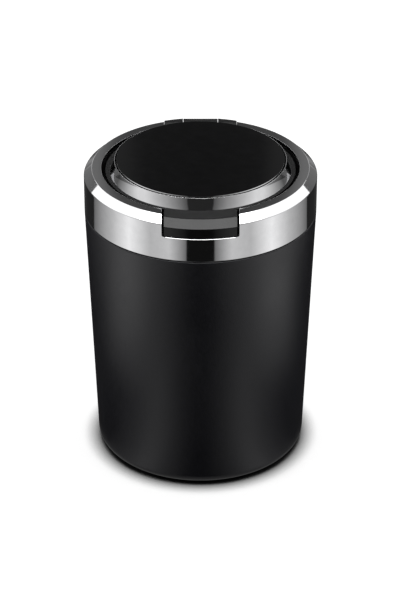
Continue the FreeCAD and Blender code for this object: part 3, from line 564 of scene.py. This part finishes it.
for blend, levels in ((inner_blend, inner_levels), (outer_blend, outer_levels), (far_blend, wall_levels)):
    ring_step = level_range(tree, *blend)
    ring_mix = add_node(tree, "ShaderNodeMix", data_type="RGBA")
    link(from_front.outputs[0], levels.inputs["Fac"])
    link(reach.outputs["Value"], ring_step.inputs["Value"])
    link(ring_step.outputs["Result"], ring_mix.inputs["Factor"])
    link(blended, ring_mix.inputs["A"])
    link(levels.outputs["Color"], ring_mix.inputs["B"])
    blended = ring_mix.outputs["Result"]
link(far_fade.outputs["Result"], strength.inputs[0])
link(on_wall.outputs[0], strength.inputs[1])
link(blended, glow.inputs["Color"])
link(strength.outputs[0], glow.inputs["Strength"])
link(glow.outputs["Emission"], tree.nodes["Material Output"].inputs["Surface"])
cards.data.materials.append(card)


def reflection_only(prop):
    prop.visible_camera = False
    prop.visible_diffuse = False
    prop.visible_shadow = False
    prop.visible_transmission = False


reflection_only(cards)

# Softbox: one wide overhead lamp, with a canopy card in its place that only reflections show.
# The card is brightest across the front, runs down both sides and is dark straight above the lid.
# Its front runs to a point, and its rear corners are drawn out.
softbox_height, table_top, softbox_level = 0.7, 0.1, 1.3
softbox_width, softbox_depth = 4.0 * softbox_height, 2.08 * softbox_height
softbox_back = 0.38 * softbox_height
front_cut, front_point, rear_reach, rear_spread = 0.46, -0.07, 0.3, 1.15
softbox = bpy.data.lights.new("softbox", "AREA")
softbox.shape = "RECTANGLE"
softbox.size, softbox.size_y = softbox_width, softbox_depth
softbox.energy = softbox_level * math.pi * softbox_width * softbox_depth
softbox_object = bpy.data.objects.new("softbox", softbox)
softbox_object.location = (0, softbox_back, table_top + softbox_height)
softbox_object.visible_camera = False
softbox_object.visible_glossy = False
bpy.context.scene.collection.objects.link(softbox_object)
bpy.ops.object.select_all(action="DESELECT")
bpy.ops.mesh.primitive_plane_add(size=1, location=softbox_object.location)
canopy = bpy.context.object
canopy.name = "canopy"
bpy.ops.object.mode_set(mode="EDIT")
bpy.ops.mesh.select_all(action="SELECT")
bpy.ops.mesh.subdivide(number_cuts=1)
bpy.ops.mesh.select_mode(type="VERT")


def draw_out(points, shift, spread=1.0):
    # Moves the given points of the canopy back by the shift, and apart by the spread
    bpy.ops.mesh.select_all(action="DESELECT")
    bpy.ops.object.mode_set(mode="OBJECT")
    for vertex in canopy.data.vertices:
        vertex.select = (round(vertex.co.x, 2), round(vertex.co.y, 2)) in points
    bpy.ops.object.mode_set(mode="EDIT")
    bpy.ops.transform.translate(value=(0, shift, 0))
    bpy.ops.transform.resize(value=(spread, 1, 1))


draw_out([(-0.5, -0.5), (0.5, -0.5)], front_cut)
draw_out([(0, -0.5)], front_point)
draw_out([(-0.5, 0.5), (0.5, 0.5)], rear_reach, rear_spread)
bpy.ops.object.mode_set(mode="OBJECT")
canopy.scale = (softbox_width, softbox_depth, 1)
canopy_card = bpy.data.materials.new("canopy_card")
canopy_card.use_nodes = True
tree = canopy_card.node_tree
tree.nodes.remove(tree.nodes["Principled BSDF"])
place = add_node(tree, "ShaderNodeTexCoord")
opening = add_node(tree, "ShaderNodeMapping")
opening.inputs["Location"].default_value = (0, -0.56, 0)
opening.inputs["Scale"].default_value = (5.0, 1.45, 1)
reach = add_node(tree, "ShaderNodeVectorMath", operation="LENGTH")
rim_level = level_range(tree, 0.95, 1.2, 0.03, 1.3)
depth = add_node(tree, "ShaderNodeSeparateXYZ")
front_lift = level_range(tree, -0.25, -0.4, 1.0, 4.1)
canopy_level = reckon(tree, "MULTIPLY")
glow = add_node(tree, "ShaderNodeEmission")
link = tree.links.new
link(place.outputs["Object"], opening.inputs["Vector"])
link(opening.outputs["Vector"], reach.inputs[0])
link(reach.outputs["Value"], rim_level.inputs["Value"])
link(place.outputs["Object"], depth.inputs[0])
link(depth.outputs["Y"], front_lift.inputs["Value"])
link(rim_level.outputs["Result"], canopy_level.inputs[0])
link(front_lift.outputs["Result"], canopy_level.inputs[1])
link(canopy_level.outputs[0], glow.inputs["Strength"])
link(glow.outputs["Emission"], tree.nodes["Material Output"].inputs["Surface"])
canopy.data.materials.append(canopy_card)
reflection_only(canopy)

# Room: plain white surroundings, dim for the object and full white for the camera.
# They fill the shadows a little and leave the background clean.
world = bpy.data.worlds.new("studio")
bpy.context.scene.world = world
world.use_nodes = True
tree = world.node_tree
path = add_node(tree, "ShaderNodeLightPath")
room_level = level_range(tree, 0.0, 1.0, 0.2, 1.0)
tree.links.new(path.outputs["Is Camera Ray"], room_level.inputs["Value"])
tree.links.new(room_level.outputs["Result"], tree.nodes["Background"].inputs["Strength"])
tree.nodes["Background"].inputs["Color"].default_value = (1, 1, 1, 1)

# Camera: a long lens in front of the object and above it, at the photograph's viewing angle.
# It looks down on the lid, level from side to side.
camera_back, camera_height, camera_down = 0.7495, 0.4777, 29.65
camera = bpy.data.cameras.new("camera")
camera.lens = 154.36
camera.sensor_width = 36.0
camera_object = bpy.data.objects.new("camera", camera)
camera_object.location = (0, -camera_back, camera_height)
camera_object.rotation_euler = (math.radians(90 - camera_down), 0, 0)
bpy.context.scene.collection.objects.link(camera_object)
bpy.context.scene.camera = camera_object
bpy.context.scene.view_settings.view_transform = "Standard"
